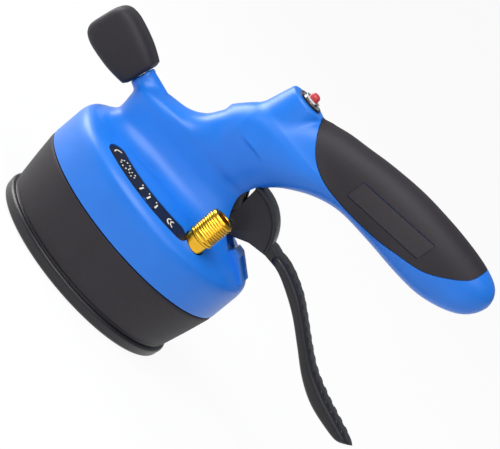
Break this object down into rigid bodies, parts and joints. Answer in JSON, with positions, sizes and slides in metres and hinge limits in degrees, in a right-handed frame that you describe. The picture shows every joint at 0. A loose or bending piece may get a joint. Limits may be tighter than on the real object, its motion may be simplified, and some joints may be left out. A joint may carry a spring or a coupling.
{
  "type": "hose spray nozzle",
  "caption": "Pistol-grip garden hose nozzle with a wide turning shower head, front trigger, flow knob, lock button and threaded brass inlet.",
  "frame": {"origin": "centre of the front rim's plane, on the spray axis; the nozzle stands on this plane when it is put down on its face", "axes": "+Z along the spray axis, away from the spray face; +X from the head towards the end of the handle; +Y to the side away from the inlet"},
  "size_m": [0.2466, 0.122, 0.1623],
  "materials": {
    "blue_plastic": "satin",
    "black_rubber": "matt",
    "inlay_rubber": "ribbed",
    "label_film": "gloss",
    "brass": "turned",
    "steel": "brushed",
    "grey_plastic": "matt",
    "seal_rubber": "matt",
    "dark_plastic": "satin",
    "red_plastic": "gloss",
    "bright_metal": "polished"
  },
  "bodies": {
    "housing": {"body_shell_left": "blue_plastic", "body_shell_right": "blue_plastic", "handle_grip": "black_rubber", "grip_inlays": "inlay_rubber", "head_cover": "blue_plastic", "pattern_label": "label_film", "inlet_fitting": "brass", "inlet_screen": "steel", "inlet_elbow": "grey_plastic", "feed_riser": "grey_plastic", "valve_body": "grey_plastic", "valve_seat": "seal_rubber", "outlet_riser": "grey_plastic", "plenum_plate": "grey_plastic", "plenum_seal": "seal_rubber", "head_hub": "grey_plastic", "pattern_disc": "grey_plastic", "trigger_pin": "steel", "stem_seal": "seal_rubber", "return_spring": "steel", "spring_cap": "grey_plastic", "knob_barrel": "grey_plastic", "knob_seal": "seal_rubber", "button_collar": "bright_metal", "button_plate": "dark_plastic", "button_spring": "steel", "housing_screws": "steel", "neck_bracket": "blue_plastic"},
    "spray_head": {"bumper_ring": "black_rubber", "front_bezel": "dark_plastic", "spray_plate": "dark_plastic", "hub_screw": "steel"},
    "trigger": {"trigger_lever": "dark_plastic", "trigger_sleeve": "dark_plastic"},
    "stem": {"valve_stem": "steel", "valve_poppet": "seal_rubber"},
    "knob": {"flow_knob": "black_rubber", "knob_spindle": "steel"},
    "button": {"lock_button": "red_plastic"}
  },
  "joints": [
    {"name": "head_turn", "type": "hinge", "parent": "housing", "child": "spray_head", "pos_m": [0, 0, 0], "axis": [0, 0, 1], "continuous": true},
    {"name": "trigger_squeeze", "type": "hinge", "parent": "housing", "child": "trigger", "pos_m": [0.0297, 0, 0.0747], "axis": [0, -1, 0], "range_deg": [0, 17], "stiffness_Nm_per_rad": 1.2, "springref_deg": -14.32},
    {"name": "stem_travel", "type": "slide", "parent": "housing", "child": "stem", "axis": [0, 0, -1], "range_m": [0, 0.0066], "deforming": ["return_spring"]},
    {"name": "knob_turn", "type": "hinge", "parent": "housing", "child": "knob", "pos_m": [-0.0545, 0, 0.0885], "axis": [-0.9877, 0, 0.1564], "range_deg": [0, 90]},
    {"name": "button_press", "type": "slide", "parent": "housing", "child": "button", "axis": [0, 0, -1], "range_m": [0, 0.003], "stiffness_N_per_m": 500, "springref_m": -0.002, "deforming": ["button_spring"]}
  ],
  "couplings": [
    {"joint": "stem_travel", "follows": "trigger_squeeze", "m_per_rad": 0.0219}
  ]
}
